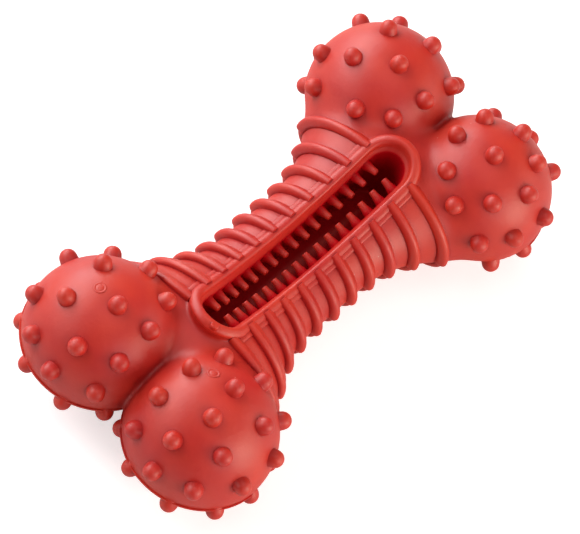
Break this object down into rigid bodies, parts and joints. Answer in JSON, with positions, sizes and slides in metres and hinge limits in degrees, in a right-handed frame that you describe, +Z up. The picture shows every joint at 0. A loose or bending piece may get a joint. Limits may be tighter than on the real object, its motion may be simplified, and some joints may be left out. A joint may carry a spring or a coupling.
{
  "type": "rubber chew toy",
  "caption": "Bone-shaped rubber chew toy with studded round lobes, ribbed flanks and an open treat slot lined with rows of soft pegs.",
  "frame": {"origin": "centre of the toy's footprint, on the surface that its four foot studs rest on", "axes": "+X along the bone toward the far lobes, +Y across it toward the left flank, +Z up out of the treat slot"},
  "size_m": [0.1592, 0.0812, 0.0406],
  "materials": {
    "red_rubber": "satin"
  },
  "bodies": {
    "root": {"lobe_near_left": "red_rubber", "lobe_near_right": "red_rubber", "lobe_far_left": "red_rubber", "lobe_far_right": "red_rubber", "studs_near_left": "red_rubber", "studs_near_right": "red_rubber", "studs_far_left": "red_rubber", "studs_far_right": "red_rubber", "neck_near": "red_rubber", "neck_far": "red_rubber", "wall_left": "red_rubber", "wall_right": "red_rubber", "slot_floor": "red_rubber", "rim_left": "red_rubber", "rim_right": "red_rubber", "slot_end_near": "red_rubber", "slot_end_far": "red_rubber", "pegs_left": "red_rubber", "pegs_right": "red_rubber", "ribs_left_upper": "red_rubber", "ribs_left_lower": "red_rubber", "ribs_right_upper": "red_rubber", "ribs_right_lower": "red_rubber", "tabs_left": "red_rubber", "tabs_right": "red_rubber", "flash_line": "red_rubber", "gate_marks": "red_rubber"}
  },
  "joints": []
}
